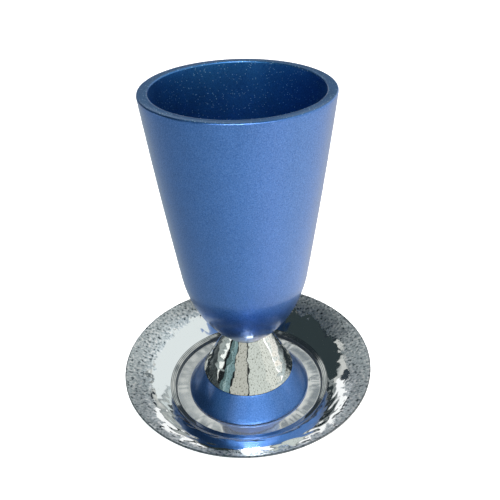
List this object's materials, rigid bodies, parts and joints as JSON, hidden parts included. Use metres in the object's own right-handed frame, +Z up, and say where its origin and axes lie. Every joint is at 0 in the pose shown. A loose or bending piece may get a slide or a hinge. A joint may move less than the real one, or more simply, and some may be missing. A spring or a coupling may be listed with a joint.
{
  "type": "kiddush cup",
  "caption": "Footed ceremonial wine cup with a tall thick-walled tapering bowl, a hammered conical stem and a low foot, standing in a hammered saucer.",
  "frame": {"origin": "centre of the saucer's flat underside, on the surface that it stands on", "axes": "+Z up along the axis that every piece is turned about; X and Y lie in the surface below"},
  "size_m": [0.1128, 0.1129, 0.1462],
  "materials": {
    "blue_anodised": "satin, bead blasted and dyed blue",
    "hammered_stem": "hammered and mirror polished",
    "hammered_saucer": "polished well, planished flange"
  },
  "bodies": {
    "root": {"bowl": "blue_anodised", "foot": "blue_anodised", "stem": "hammered_stem", "saucer": "hammered_saucer"}
  },
  "joints": []
}
